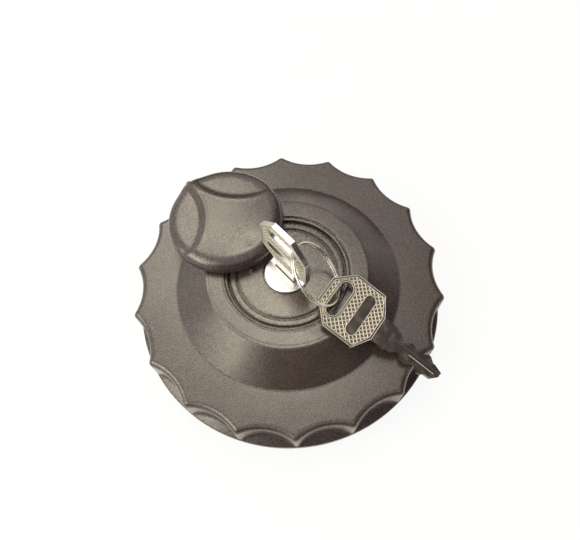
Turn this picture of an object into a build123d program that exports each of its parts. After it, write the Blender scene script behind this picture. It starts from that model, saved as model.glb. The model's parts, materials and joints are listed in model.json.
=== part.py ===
from build123d import *
from math import atan, atan2, cos, degrees, radians, sin, sqrt, tan
import os

# Lockable bayonet fuel filler cap, with its key in the lock and a spare key on a split ring.
# Millimetres. The Z axis is the axis of the cap and points out of the tank.
# Z = 0 is the sealing plane, where the gasket meets the rim of the filler neck.

# ---------------------------------------------------------------- filler neck
neck_hole_radius = 30.0        # hole in the turned-in rim of the neck
neck_rim_thickness = 3.0
spigot_clearance = 0.5         # spigot in the neck hole

# ---------------------------------------------------------------- grip cover
lid_radius = 57.5              # to the tips between the scallops
scallop_count = 18
scallop_depth = 3.2            # tip to valley
tip_rounding = 1.6
lid_edge_fillet = 1.9
first_tip_azimuth = 88.5
shell_wall = 2.5
annulus_height = 14.0          # flat ring outside the raised centre, above the sealing plane
skirt_drop = 2.0               # skirt below the sealing plane
flange_radius = 57.6           # plain round band under the scallops
flange_side_top = 1.0
flange_slope_rise = 2.2
flange_slope_width = 4.2
cone_foot_radius = 41.0
centre_rise = 8.5              # raised centre above the annulus
centre_radius = 29.1
centre_edge_rounding = 0.8
foot_step = 0.35               # small step where the cone meets the annulus
well_radius = 21.6             # round well that takes the escutcheon
well_wall = 2.3
well_floor_thickness = 2.2
bead_width = 1.0
bead_height = 0.5
step_line_inset = 1.2
step_line_depth = 0.15
rib_count = 9
rib_thickness = 1.6
locating_rib_width = 1.6
running_gap = 0.3              # between moulded pieces that only pass each other

# ---------------------------------------------------------------- escutcheon
escutcheon_radius = 20.5
escutcheon_recess = 1.75       # below the top of the raised centre
escutcheon_thickness = 2.4
escutcheon_wall = 1.8
escutcheon_groove_radius = 17.8
escutcheon_groove_width = 0.8
escutcheon_groove_depth = 0.6
escutcheon_lip = 1.2            # over the top of the barrel, round the lock face
fit_clearance = 0.15           # moulded pieces that seat in each other
rest_nub_radius = 0.7
rest_nub_height = 1.2
rest_nub_x = -12.6
rest_nub_y = 1.6

# ---------------------------------------------------------------- dust cover
pivot_radius = 15.0            # from the cap's axis to the pivot
pivot_azimuth = 138.6
open_azimuth = 129.5           # from the pivot to the middle of the open dust cover
dust_radius = 21.2
dust_tab_reach = 22.9
dust_tab_rounding = 1.5
dust_height = 6.2
dust_side_height = 3.6
dust_platform_radius = 18.4
dust_crown = 0.5
dust_lift = 0.6                # underside above the top of the raised centre
dust_wall = 1.9
scoop_centre_x = 19.8
scoop_centre_y = 25.7
scoop_top_radius = 25.2
scoop_wall_width = 3.3
scoop_floor_height = 4.75      # above the underside
scoop_floor_radius = 17.7      # from the cover's middle, where the floor falls away to the rim
scoop_rim_height = 3.45        # above the underside, at the cover's edge
pivot_boss_radius = 5.2
pivot_journal_radius = 3.2
journal_clearance = 0.06       # running fit
pivot_dimple_radius = 9.0
pivot_dimple_depth = 0.25
washer_thickness = 0.5
washer_dish = 0.25
pivot_screw_head_radius = 3.0
pivot_screw_head_height = 1.6
pivot_screw_radius = 1.1
pivot_pilot_clearance = 0.05

# ---------------------------------------------------------------- lock
lock_face_rise = 0.25          # lock face above the escutcheon
plug_head_radius = 8.05
plug_head_thickness = 1.5
plug_radius = 6.0
plug_clearance = 0.05          # running fit of the plug in the barrel
barrel_radius = 9.2
barrel_bottom = 1.0
barrel_flange_radius = 12.0
barrel_flange_thickness = 1.9
barrel_bore_clearance = 0.15
seal_groove_depth = 1.2
seal_width = 1.8
seal_height = 5.4
wafer_count = 5
wafer_thickness = 1.6
wafer_clearance = 0.06
wafer_strip = 5.4
wafer_first_depth = 4.1        # below the lock face
wafer_pitch = 3.05
wafer_ear = 1.3
spring_radius = 0.65
spring_length = 3.6
spring_turns = 6
circlip_thickness = 0.7
circlip_outer_radius = 7.4
circlip_groove_radius = 5.2
circlip_gap_angle = 60.0
tang_size = 7.0
tang_length = 1.1
tang_clearance = 0.05

# ---------------------------------------------------------------- keys
key_thickness = 1.8
bow_length = 22.6
bow_half_width = 11.2
bow_end_half_width = 4.6
bow_shoulder_start = 6.5
bow_shoulder_end = 18.4
bow_border = 1.0
bow_recess = 0.25
bow_slot_offset = 6.0          # from the end of the bow to the middle of the slot
bow_slot_width = 5.0
bow_slot_length = 13.6
bow_slot_collar = 0.9
bow_panel_offset = 15.05
bow_panel_width = 4.3
bow_panel_length = 16.6
neck_half_width = 4.7
neck_length = 6.1
neck_seat_depth = 1.45         # the neck's end sits this deep in the mouth of the lock
neck_chamfer = 0.9
blade_half_width = 3.8
blade_left_cuts = (            # (distance past the shoulder, half width)
    (1.2, 3.8), (3.6, 1.7), (4.4, 1.7), (5.8, 3.2), (6.8, 3.4), (9.9, 2.2), (10.9, 2.2), (12.8, 3.8),
    (14.0, 3.8), (15.8, 2.3), (16.7, 2.3), (19.9, 1.2),
)
blade_right_cuts = (
    (1.6, 3.8), (3.7, 2.2), (4.5, 2.2), (5.8, 3.8), (8.2, 3.8), (10.3, 2.2), (11.2, 2.2), (12.7, 3.8),
    (13.9, 3.8), (15.3, 2.7), (17.7, 2.7), (19.9, 0.4),
)
blade_length = blade_left_cuts[-1][0]
blade_tip_half_width = 2.2     # of the end that reaches below the barrel
blade_groove_width = 1.6
blade_groove_depth = 0.45
key_azimuth = -52.3            # plane of the key in the lock
keyway_clearance = 0.1
spare_x = 12.55                # middle of the far end of the spare key's bow
spare_y = -10.5
spare_shoulder_gap = 0.1       # under the key, over the edge of the raised centre
spare_azimuth = -39.6
spare_slope = 17.5

# ---------------------------------------------------------------- split ring
ring_radius = 11.34            # to the middle of the wire
ring_wire_radius = 0.42
ring_turn_offset = 0.8         # between the two turns
ring_x = 9.85
ring_y = -7.64
ring_above_spare = 5.67        # above the far end of the spare key
ring_tilt = 49.4
ring_tilt_azimuth = 1.8
ring_split_angle = 12.0

# ---------------------------------------------------------------- bayonet body
gasket_thickness = 3.0
gasket_outer_radius = 43.0
gasket_stretch_clearance = 0.05
body_seat_radius = 30.9
body_flange_radius = 44.4
body_flange_thickness = 2.6
body_hub_radius = 20.5
plate_room = 1.0               # between the neck rim and the bayonet plate
pocket_radius = 11.0
core_inner_radius = 19.3
core_outer_radius = 27.2
core_web = 2.4
rib_width = 3.0
channel_wall = 1.8             # each side of the bolt's channel
clamp_screw_circle = 15.0
clamp_screw_radius = 1.75
clamp_screw_head_radius = 3.1
clamp_screw_head_height = 2.1
clamp_boss_radius = 3.4
screw_clearance = 0.2
plate_screw_circle = 23.3
plate_screw_radius = 1.5
plate_screw_head_radius = 2.9
plate_screw_length = 8.0
plate_boss_radius = 3.3

# ---------------------------------------------------------------- bayonet plate
plate_thickness = 2.5
plate_radius = 29.2
lug_radius = 35.5
lug_angle = 44.0
lug_ramp = 0.8
lug_ramp_length = 4.0
lug_rounding = 1.2
plate_vent_radius = 1.5

# ---------------------------------------------------------------- bolt and driver
bolt_width = 9.0
bolt_thickness = 2.1
bolt_clearance = 0.1
eccentric_radius = 4.2
drive_pin_radius = 1.5
drive_slot_clearance = 0.22
lock_turn_angle = 90.0
driver_radius = 7.6
driver_thickness = 1.5
driver_gap = 0.1
bolt_tail_length = 7.2
bolt_tail_overhang = 1.9

# ---------------------------------------------------------------- vent valve
vent_circle = 23.9
vent_stem_radius = 1.3
vent_cap_radius = 3.1
vent_cap_thickness = 0.9
vent_hole_radius = 0.6
vent_hole_circle = 2.2

# ================================================================ heights and places
skirt_bottom = -skirt_drop
centre_top = annulus_height + centre_rise
escutcheon_top = centre_top - escutcheon_recess
lock_face = escutcheon_top + lock_face_rise
dust_bottom = centre_top + dust_lift
dust_top = dust_bottom + dust_height
cover_underside = annulus_height - shell_wall
well_floor = cover_underside + well_floor_thickness
barrel_top = lock_face - plug_head_thickness - bolt_clearance
flange_top = gasket_thickness + body_flange_thickness
spigot_radius = neck_hole_radius - spigot_clearance
spigot_bottom = -(neck_rim_thickness + plate_room)
plate_bottom = spigot_bottom - plate_thickness
key_shoulder = lock_face - neck_seat_depth
key_tip = key_shoulder - blade_length
bow_bottom = key_shoulder + neck_length
bow_top = bow_bottom + bow_length
key_length = bow_length + neck_length + blade_length
spare_drop = (centre_radius - sqrt(spare_x ** 2 + spare_y ** 2)) * tan(radians(spare_slope))
spare_half_upright = key_thickness / 2 / cos(radians(spare_slope))
spare_z = centre_top + spare_shoulder_gap + spare_drop + spare_half_upright
ring_z = spare_z + ring_above_spare
bolt_azimuth = pivot_azimuth - 90.0
tang_top = barrel_bottom - circlip_thickness - 4 * driver_gap
driver_top = tang_top - driver_gap
driver_bottom = driver_top - driver_thickness
bolt_bottom = spigot_bottom + bolt_clearance
bolt_top = bolt_bottom + bolt_thickness
half_turn = radians(lock_turn_angle / 2)
bolt_travel = 2 * eccentric_radius * sin(half_turn)
pivot_x = pivot_radius * cos(radians(pivot_azimuth))
pivot_y = pivot_radius * sin(radians(pivot_azimuth))


def polar(radius, azimuth):
    return (radius * cos(radians(azimuth)), radius * sin(radians(azimuth)))


def disc(radius, low, high, x=0.0, y=0.0):
    """Upright cylinder between two heights."""
    return Pos(x, y, low) * extrude(Circle(radius), high - low)


def ring(outer, inner, low, high, x=0.0, y=0.0):
    """Upright tube between two heights."""
    return Pos(x, y, low) * extrude(Circle(outer) - Circle(inner), high - low)


def slab(x_low, x_high, y_low, y_high, low, high):
    """Block between six planes."""
    box = Box(x_high - x_low, y_high - y_low, high - low, align=(Align.MIN, Align.MIN, Align.MIN))
    return Pos(x_low, y_low, low) * box


def turned(points):
    """Solid of revolution about Z from (radius, height) points."""
    profile = make_face(Polyline(*[(r, 0, z) for r, z in points], close=True))
    return revolve(profile, Axis.Z)


def around(radius, azimuths, piece):
    """Copies of a piece at places on a circle."""
    copies = [Pos(*polar(radius, azimuth)) * piece for azimuth in azimuths]
    return Part() + copies


def quarter_azimuths(first):
    return [first + 90.0 * i for i in range(4)]


# ================================================================ grip cover
def scalloped_outline(tip_radius, valley_radius, rounding):
    """Plan of the grip: concave arcs between tips, with the tips rounded."""
    pitch = 360.0 / scallop_count
    chord_half = tip_radius * sin(radians(pitch / 2))
    sagitta = tip_radius * cos(radians(pitch / 2)) - valley_radius
    tip_half_angle = radians(90.0 - pitch / 2) - 2 * atan(sagitta / chord_half)
    sharp_radius = tip_radius + rounding * (1 / sin(tip_half_angle) - 1)
    arcs = []
    for i in range(scallop_count):
        azimuth = first_tip_azimuth + i * pitch
        start = polar(sharp_radius, azimuth)
        middle = polar(valley_radius, azimuth + pitch / 2)
        end = polar(sharp_radius, azimuth + pitch)
        arcs.append(ThreePointArc(start, middle, end))
    outline = make_face(arcs)
    return fillet(outline.vertices(), rounding)


def centre_profile():
    """Outer form of the raised centre as (radius, height) points, without its top rounding."""
    return [
        (0, skirt_bottom + shell_wall),
        (cone_foot_radius + foot_step, skirt_bottom + shell_wall),
        (cone_foot_radius + foot_step, annulus_height + foot_step / 2),
        (cone_foot_radius, annulus_height + foot_step / 2),
        (centre_radius, centre_top),
        (0, centre_top),
    ]


def grip_cover():
    """One moulding: scalloped skirt, flat annulus, raised centre, well, ribs."""
    grip = scalloped_outline(lid_radius, lid_radius - scallop_depth, tip_rounding)
    grip = Pos(0, 0, skirt_bottom + shell_wall) * extrude(grip, annulus_height - skirt_bottom - shell_wall)
    rim = grip.edges().filter_by_position(Axis.Z, annulus_height - 0.01, annulus_height + 0.01)
    grip = fillet(rim, lid_edge_fillet)
    slope_foot = flange_radius - flange_slope_width
    flange = turned([
        (0, skirt_bottom),
        (flange_radius - 0.6, skirt_bottom),
        (flange_radius, skirt_bottom + 0.6),
        (flange_radius, flange_side_top),
        (slope_foot, flange_side_top + flange_slope_rise),
        (0, flange_side_top + flange_slope_rise),
    ])
    centre = turned(centre_profile())
    crest = centre.edges().filter_by_position(Axis.Z, centre_top - 0.01, centre_top + 0.01)
    centre = fillet(crest, centre_edge_rounding)
    outer = grip + flange + centre

    inner_tip = lid_radius - shell_wall
    inner_plan = scalloped_outline(inner_tip, inner_tip - scallop_depth, 2 * tip_rounding)
    hollow = Pos(0, 0, skirt_bottom) * extrude(inner_plan, cover_underside - skirt_bottom)
    cone_run = cone_foot_radius - centre_radius
    cone_slant = sqrt(cone_run ** 2 + centre_rise ** 2)
    side_shift = shell_wall * (cone_slant - cone_run) / centre_rise
    hollow += turned([
        (0, cover_underside - 1.0),
        (cone_foot_radius - side_shift, cover_underside - 1.0),
        (cone_foot_radius - side_shift, cover_underside),
        (centre_radius - side_shift, centre_top - shell_wall),
        (0, centre_top - shell_wall),
    ])

    ribs = Part()
    for i in range(rib_count):
        web = slab(well_radius, inner_tip - scallop_depth / 2, -rib_thickness / 2, rib_thickness / 2,
                   flange_top + running_gap, centre_top)
        ribs += Rot(0, 0, first_tip_azimuth + 360.0 / rib_count * i) * web
    locating_inner = body_flange_radius + running_gap
    ribs += ring(locating_inner + locating_rib_width, locating_inner, flange_side_top, annulus_height)
    well = disc(well_radius + well_wall, cover_underside, centre_top)
    cover = (outer - hollow) + (outer & (ribs + well))

    cover -= disc(well_radius, well_floor, centre_top + 1)
    cover -= disc(barrel_radius + barrel_bore_clearance, cover_underside - 1, well_floor + 1)
    hole = disc(clamp_screw_radius + screw_clearance, cover_underside - 1, well_floor + 1)
    cover -= around(clamp_screw_circle, quarter_azimuths(bolt_azimuth + 45), hole)
    line_radius = centre_radius - step_line_inset
    cover -= ring(line_radius + 0.2, line_radius, centre_top - step_line_depth, centre_top + 1)
    bead = ring(well_radius + bead_width, well_radius, centre_top - 0.2, centre_top + bead_height)
    bead_edges = bead.edges().filter_by_position(Axis.Z, centre_top + bead_height - 0.01, centre_top + 9)
    return cover + fillet(bead_edges, bead_height * 0.9)


# ================================================================ escutcheon
def lock_escutcheon():
    """Moulded rosette in the well: ring band, disc, pivot boss and four screw bosses."""
    underside = escutcheon_top - escutcheon_thickness
    rosette = disc(escutcheon_radius, underside, escutcheon_top)
    top_edge = rosette.edges().filter_by_position(Axis.Z, escutcheon_top - 0.01, escutcheon_top + 0.01)
    rosette = fillet(top_edge, 0.3)
    groove = escutcheon_groove_radius
    rosette -= ring(groove + escutcheon_groove_width / 2, groove - escutcheon_groove_width / 2,
                    escutcheon_top - escutcheon_groove_depth, escutcheon_top + 0.01)
    rosette += ring(escutcheon_radius, escutcheon_radius - escutcheon_wall, well_floor, underside)
    rosette += ring(well_radius - fit_clearance, escutcheon_radius - escutcheon_wall,
                    well_floor, well_floor + escutcheon_wall)
    rosette += disc(pivot_boss_radius, underside, dust_bottom - 2 * bolt_clearance, pivot_x, pivot_y)
    rosette += disc(rest_nub_radius, underside, escutcheon_top + rest_nub_height, rest_nub_x, rest_nub_y)
    lock_hole = barrel_radius + fit_clearance
    rosette += ring(lock_hole + escutcheon_wall, lock_hole, well_floor, underside)
    boss = disc(clamp_boss_radius, well_floor, underside)
    rosette += around(clamp_screw_circle, quarter_azimuths(bolt_azimuth + 45), boss)
    rosette -= disc(lock_hole, well_floor - 1, escutcheon_top - escutcheon_lip)
    rosette -= disc(plug_head_radius + running_gap, well_floor - 1, escutcheon_top + 1)
    pilot = disc(clamp_screw_radius, well_floor - 1, underside + 1)
    rosette -= around(clamp_screw_circle, quarter_azimuths(bolt_azimuth + 45), pilot)
    rosette -= disc(pivot_journal_radius + journal_clearance, well_floor - 1, dust_top, pivot_x, pivot_y)
    head_room = pivot_screw_head_radius + 1.4
    rosette -= disc(head_room, well_floor - 1, underside, pivot_x, pivot_y)
    return rosette


# ================================================================ dust cover
def dust_frame(piece):
    """Places a piece drawn about the dust cover's middle, with its tab along +X, in the open position."""
    middle_x, middle_y = polar(pivot_radius, open_azimuth)
    return Pos(pivot_x + middle_x, pivot_y + middle_y) * Rot(0, 0, open_azimuth) * piece


def scoop_cutter(side):
    """Finger scoop: a sloping wall round the scoop's middle, over a floor that falls away at the rim."""
    foot_radius = scoop_top_radius - scoop_wall_width
    low = dust_bottom + scoop_floor_height
    drop = dust_height - scoop_floor_height
    wall = Pos(0, 0, low + drop / 2) * Cone(foot_radius, scoop_top_radius, drop)
    wall += disc(scoop_top_radius, dust_top - 0.01, dust_top + 1)
    rim = dust_bottom + scoop_rim_height
    dish = turned([
        (0, low), (scoop_floor_radius, low), (dust_radius, rim), (dust_tab_reach + 1, rim),
        (dust_tab_reach + 1, dust_top + 1), (0, dust_top + 1),
    ])
    return (Pos(scoop_centre_x, side * scoop_centre_y) * wall) & dish


def dust_cover():
    """Round swinging cover with two finger scoops, a tab between them and a pivot journal below."""
    tab_middle = dust_tab_reach - dust_tab_rounding
    circles = Circle(dust_radius).edges() + (Pos(tab_middle, 0) * Circle(dust_tab_rounding)).edges()
    plan = make_hull(circles)
    block = Pos(0, 0, dust_bottom) * extrude(plan, dust_height)
    shoulder = dust_bottom + dust_side_height
    platform = dust_top - dust_crown
    crown_arc = ThreePointArc((0, 0, dust_top), (dust_platform_radius * 0.55, 0, dust_top - dust_crown * 0.3),
                              (dust_platform_radius, 0, platform))
    reach = dust_radius - dust_platform_radius
    middle_rim = (dust_platform_radius + reach * 0.68, 0, platform - (platform - shoulder) * 0.27)
    rim_arc = ThreePointArc((dust_platform_radius, 0, platform), middle_rim, (dust_radius + 0.05, 0, shoulder))
    outside = Polyline((dust_radius + 0.05, 0, shoulder), (dust_tab_reach + 1, 0, shoulder - 0.9),
                       (dust_tab_reach + 1, 0, dust_bottom), (0, 0, dust_bottom), (0, 0, dust_top))
    dome = revolve(make_face([crown_arc, rim_arc, outside]), Axis.Z)
    cover = block & dome
    for side in (-1, 1):
        cover -= scoop_cutter(side)

    core_plan = Circle(dust_platform_radius - 0.8)
    recess = Pos(0, 0, dust_bottom) * extrude(Circle(dust_radius - 2 * dust_wall + 1.2), dust_wall / 2)
    for side in (-1, 1):
        core_plan -= Pos(scoop_centre_x, side * scoop_centre_y) * Circle(scoop_top_radius + dust_wall * 0.7)
    core = Pos(0, 0, dust_bottom) * extrude(core_plan, dust_height - dust_crown - dust_wall)
    journal_boss = disc(pivot_boss_radius, dust_bottom, dust_top, -pivot_radius)
    cover -= (core + recess) - journal_boss
    cover += disc(pivot_boss_radius, dust_bottom - bolt_clearance, dust_bottom + 0.5, -pivot_radius)
    journal_bottom = escutcheon_top - escutcheon_thickness - bolt_clearance
    cover += disc(pivot_journal_radius, journal_bottom, dust_bottom + 0.5, -pivot_radius)
    cover -= disc(pivot_screw_radius + pivot_pilot_clearance, journal_bottom - 1, dust_bottom + 1.5, -pivot_radius)
    dimple_middle = dust_top - 0.2 + pivot_dimple_radius - pivot_dimple_depth
    cover -= Pos(-pivot_radius, 0, dimple_middle) * Sphere(pivot_dimple_radius)
    return dust_frame(cover)


def cover_spring_washer():
    """Dished washer that keeps friction on the dust cover's pivot."""
    top = escutcheon_top - escutcheon_thickness - bolt_clearance
    outer = pivot_screw_head_radius + 0.9
    inner = pivot_screw_radius + 0.1
    return Pos(pivot_x, pivot_y) * turned([
        (inner, top - washer_dish - washer_thickness), (inner, top - washer_dish),
        (outer, top), (outer, top - washer_thickness),
    ])


def cover_pivot_screw():
    """Pan head screw, up into the dust cover's journal."""
    head_top = escutcheon_top - escutcheon_thickness - bolt_clearance - washer_dish - washer_thickness
    head = disc(pivot_screw_head_radius, head_top - pivot_screw_head_height, head_top)
    low_edge = head.edges().filter_by_position(Axis.Z, head_top - pivot_screw_head_height - 0.01,
                                               head_top - pivot_screw_head_height + 0.01)
    head = fillet(low_edge, 0.6)
    drive = slab(-1.6, 1.6, -0.35, 0.35, head_top - pivot_screw_head_height, head_top - 0.7)
    head -= drive + Rot(0, 0, 90) * drive
    return Pos(pivot_x, pivot_y) * (head + disc(pivot_screw_radius, head_top - 0.1, dust_bottom + 1.0))


# ================================================================ lock
def key_frame(piece):
    """Places a piece drawn with X along the keyway and Y across it."""
    return Rot(0, 0, key_azimuth) * piece


def wafer_heights():
    return [lock_face - wafer_first_depth - wafer_pitch * i for i in range(wafer_count)]


def lock_barrel():
    """Die-cast housing: flange under the well floor, plug bore, wafer grooves, seal groove."""
    barrel = disc(barrel_radius, barrel_bottom, barrel_top)
    barrel += disc(barrel_flange_radius, cover_underside - barrel_flange_thickness, cover_underside)
    flat = barrel_flange_radius - 0.9
    barrel -= Rot(0, 0, bolt_azimuth) * slab(flat, flat + 2, -9, 9, 0, cover_underside)
    bore = plug_radius + plug_clearance
    barrel -= disc(bore, barrel_bottom - 1, barrel_top + 1)
    groove_low = wafer_heights()[-1] - wafer_pitch / 2
    groove_high = wafer_heights()[0] + wafer_pitch / 2
    groove_half = wafer_strip / 2 + 0.1
    groove = slab(-bore - 1.2, bore + 1.2, -groove_half, groove_half, groove_low, groove_high)
    barrel -= key_frame(groove) + key_frame(Rot(0, 0, 90) * groove)
    barrel -= ring(barrel_radius + 1, barrel_radius - seal_groove_depth,
                   seal_height, seal_height + seal_width + 0.2)
    return barrel


def barrel_seal():
    """O-ring between the barrel and the bayonet body, drawn squeezed."""
    inner = barrel_radius - seal_groove_depth
    outer = barrel_radius + barrel_bore_clearance
    seal = ring(outer, inner, seal_height + 0.1, seal_height + 0.1 + seal_width)
    return fillet(seal.edges().filter_by(GeomType.CIRCLE), (outer - inner) * 0.4)


def lock_plug():
    """Rotor with its broad silver face, keyway, wafer slots, circlip groove and square tang."""
    head = disc(plug_head_radius, lock_face - plug_head_thickness, lock_face)
    rim = head.edges().filter_by_position(Axis.Z, lock_face - 0.01, lock_face + 0.01)
    plug = fillet(rim, 0.4) + disc(plug_radius, tang_top, lock_face - plug_head_thickness)
    plug -= ring(plug_radius + 1, circlip_groove_radius,
                 barrel_bottom - circlip_thickness - driver_gap, barrel_bottom - driver_gap / 2)
    slot_half_x = blade_half_width + 2 * keyway_clearance
    slot_half_y = key_thickness / 2 + keyway_clearance
    ward = blade_groove_depth - keyway_clearance
    ward_half = blade_groove_width / 2 - keyway_clearance
    mouth_half_x = neck_half_width + 2 * keyway_clearance
    mouth_floor = key_shoulder - keyway_clearance
    tip_half_x = blade_tip_half_width + 2 * keyway_clearance
    tip_floor = key_tip - keyway_clearance
    keyway = slab(-slot_half_x, slot_half_x, -slot_half_y, slot_half_y, barrel_bottom, mouth_floor + 0.1)
    keyway += slab(-mouth_half_x, mouth_half_x, -slot_half_y, slot_half_y, mouth_floor, lock_face + 1)
    for side in (-1, 1):
        face = side * slot_half_y
        low, high = sorted((face, face - side * (keyway_clearance + ward - 0.1)))
        keyway -= slab(-ward_half, ward_half, low, high, barrel_bottom, mouth_floor)
    strip = wafer_strip / 2 + wafer_clearance
    pocket_low = -spring_length - 0.6
    pocket = Part()
    for height in wafer_heights():
        low = height - wafer_thickness / 2 - wafer_clearance
        high = height + wafer_thickness / 2 + wafer_clearance
        pocket += slab(-plug_radius - 1, plug_radius + 1, -strip, strip, low, high)
        pocket += slab(pocket_low + 1.0, 2.6, strip - 0.1, strip + wafer_ear + 0.1, low, high)
    plug -= key_frame(keyway + pocket)
    tang = slab(-tang_size / 2, tang_size / 2, -tang_size / 2, tang_size / 2, tang_top - tang_length, tang_top)
    corners = tang.edges().filter_by(Axis.Z)
    plug += Rot(0, 0, bolt_azimuth) * chamfer(corners, 0.5)
    tip_pocket = slab(-tip_half_x, tip_half_x, -slot_half_y, slot_half_y, tip_floor, barrel_bottom + 0.1)
    return plug - key_frame(tip_pocket)


def lock_wafers():
    """Five tumblers, each with a window for the blade and an ear for its spring."""
    window_x = blade_half_width + 2 * keyway_clearance
    window_y = key_thickness / 2 + keyway_clearance
    strip = wafer_strip / 2
    wafers = Part()
    for height in wafer_heights():
        low = height - wafer_thickness / 2
        high = height + wafer_thickness / 2
        wafer = disc(plug_radius - 2 * plug_clearance, low, high)
        wafer &= slab(-plug_radius, plug_radius, -strip, strip, low, high)
        wafer += slab(1.2, 2.4, strip - 0.2, strip + wafer_ear, low, high)
        wafers += wafer - slab(-window_x, window_x, -window_y, window_y, low - 1, high + 1)
    return key_frame(wafers)


def wafer_springs():
    """Small compression springs that push the wafers out when the key is drawn."""
    coil_pitch = spring_length / spring_turns
    wire = coil_pitch * 0.42
    points = [(spring_radius * 0.35, 0)]
    for i in range(spring_turns):
        points.append((spring_radius - wire, coil_pitch * i))
        points.append((spring_radius, coil_pitch * (i + 0.5)))
    points.append((spring_radius - wire, spring_length))
    points.append((spring_radius * 0.35, spring_length))
    spring = turned(points)
    lie_along_x = Rot(0, 90, 0)
    place_y = wafer_strip / 2 + spring_radius + wafer_clearance
    springs = Part()
    for height in wafer_heights():
        springs += Pos(1.2 - spring_length, place_y, height) * lie_along_x * spring
    return key_frame(springs)


def plug_circlip():
    """Open ring that holds the plug up in the barrel."""
    low = barrel_bottom - circlip_thickness - driver_gap / 2
    clip = ring(circlip_outer_radius, circlip_groove_radius + driver_gap / 2, low, low + circlip_thickness)
    half = radians(circlip_gap_angle / 2)
    reach = circlip_outer_radius + 1
    gap = make_face(Polyline((0, 0), (reach, -reach * sin(half) / cos(half)),
                             (reach, reach * sin(half) / cos(half)), close=True))
    clip -= Pos(0, 0, low - 1) * extrude(gap, circlip_thickness + 2)
    return Rot(0, 0, bolt_azimuth + 180) * clip


def lock_driver():
    """Disc on the plug's tang with an eccentric pin that works the bolt."""
    driver = disc(driver_radius, driver_bottom, driver_top)
    socket = tang_size / 2 + tang_clearance
    socket_depth = tang_length - driver_gap + tang_clearance
    driver -= slab(-socket, socket, -socket, socket, driver_top - socket_depth, driver_top + 1)
    rest_angle = 90.0 + lock_turn_angle / 2
    pin_x, pin_y = polar(eccentric_radius, rest_angle)
    driver += disc(drive_pin_radius, bolt_bottom + bolt_clearance, driver_bottom + 0.1, pin_x, pin_y)
    return Rot(0, 0, bolt_azimuth) * driver


def locking_bolt():
    """Flat sliding bolt, drawn back, with a cross slot for the driver's pin."""
    pin_x = -eccentric_radius * sin(half_turn)
    slot_half = drive_pin_radius + drive_slot_clearance
    pin_low = eccentric_radius * cos(half_turn)
    tail = pin_x - slot_half - bolt_tail_overhang
    bolt_end = spigot_radius - running_gap
    plan = Polyline(
        (tail, -bolt_width / 2), (bolt_end - 1.2, -bolt_width / 2), (bolt_end, -bolt_width / 2 + 1.2),
        (bolt_end, bolt_width / 2 - 1.2), (bolt_end - 1.2, bolt_width / 2),
        (tail + bolt_tail_length, bolt_width / 2), (tail + bolt_tail_length, eccentric_radius + slot_half + 1.6),
        (tail, eccentric_radius + slot_half + 1.6), close=True)
    slot_low = pin_low - 0.4
    slot_length = eccentric_radius - slot_low + 0.2
    slot = Pos(pin_x, slot_low + slot_length / 2) * Rot(0, 0, 90) * SlotCenterToCenter(slot_length, 2 * slot_half)
    lightening = Pos((bolt_end + tail + bolt_tail_length) / 2, 0) * SlotOverall(bolt_end * 0.45, bolt_width * 0.4)
    bolt = extrude(make_face(plan) - slot - lightening, bolt_thickness)
    return Rot(0, 0, bolt_azimuth) * Pos(0, 0, bolt_bottom) * bolt


# ================================================================ bayonet body
def bayonet_body():
    """Moulded spigot with the gasket seat, the barrel's bore and the bolt's channel."""
    hub_top = cover_underside
    body = turned([
        (0, spigot_bottom), (spigot_radius, spigot_bottom), (spigot_radius, 0), (body_seat_radius, 0),
        (body_seat_radius, gasket_thickness), (body_flange_radius, gasket_thickness),
        (body_flange_radius, flange_top), (body_hub_radius, flange_top), (body_hub_radius, hub_top),
        (0, hub_top),
    ])
    core = Circle(core_outer_radius) - Circle(core_inner_radius)
    channel_half = bolt_width / 2 + bolt_clearance
    rib_reach = 2 * (core_outer_radius - core_inner_radius)
    core -= Pos(core_outer_radius / 2, 0) * Rectangle(core_outer_radius, 2 * (channel_half + channel_wall))
    for azimuth in quarter_azimuths(45):
        core -= Rot(0, 0, azimuth) * Pos(plate_screw_circle, 0) * Rectangle(rib_reach, rib_width)
        core -= Pos(*polar(plate_screw_circle, azimuth)) * Circle(plate_boss_radius)
    web_bottom = flange_top - core_web
    body -= Pos(0, 0, spigot_bottom) * extrude(core, web_bottom - spigot_bottom)

    body -= disc(pocket_radius, spigot_bottom - 1, barrel_bottom + 2 * bolt_clearance)
    body -= disc(barrel_radius + barrel_bore_clearance, 0, hub_top + 1)
    body -= disc(barrel_flange_radius + fit_clearance, hub_top - barrel_flange_thickness - bolt_clearance,
                 hub_top + 1)
    body -= slab(0, spigot_radius + 1, -channel_half, channel_half, spigot_bottom - 1,
                 bolt_top + bolt_clearance)
    head_seat = spigot_bottom + clamp_screw_head_height + bolt_clearance
    clamp_hole = disc(clamp_screw_radius + screw_clearance, spigot_bottom - 1, hub_top + 1)
    clamp_hole += disc(clamp_screw_head_radius + screw_clearance, spigot_bottom - 1, head_seat)
    body -= around(clamp_screw_circle, quarter_azimuths(45), clamp_hole)
    plate_hole = disc(plate_screw_radius, spigot_bottom - 1, plate_bottom + plate_screw_length + 0.5)
    body -= around(plate_screw_circle, quarter_azimuths(45), plate_hole)
    body -= disc(vent_stem_radius + bolt_clearance, spigot_bottom, hub_top, -vent_circle)
    for i in range(3):
        x, y = polar(vent_hole_circle, 120.0 * i + 60)
        body -= disc(vent_hole_radius, web_bottom - 1, flange_top + 1, x - vent_circle, y)
    return Rot(0, 0, bolt_azimuth) * body


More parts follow.
